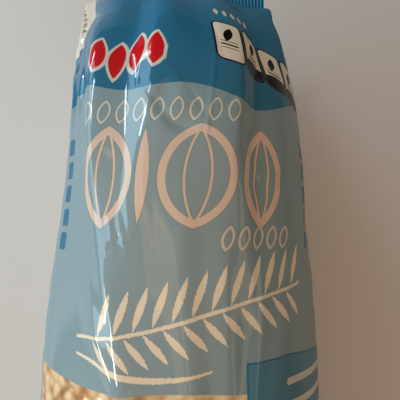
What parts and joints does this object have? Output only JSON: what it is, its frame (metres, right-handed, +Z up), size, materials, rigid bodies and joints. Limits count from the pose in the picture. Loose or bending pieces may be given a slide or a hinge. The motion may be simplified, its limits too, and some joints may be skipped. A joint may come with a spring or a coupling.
{
  "type": "film pack of puffed rice cakes",
  "caption": "Shut, printed plastic film pack round a stack of puffed rice cakes, with crimped seals, lying on its back.",
  "frame": {"origin": "on the surface that the pack lies on, under the middle of the pack", "axes": "+X across the pack to the right as the front panel is read, +Y along the pack to its top seal, +Z up out of the front panel"},
  "size_m": [0.1089, 0.308, 0.095],
  "materials": {
    "printed_film": "thin glossy printed film, light blue with a deep blue top, a few sharp creases"
  },
  "bodies": {
    "root": {"film_pack": "printed_film"}
  },
  "joints": []
}
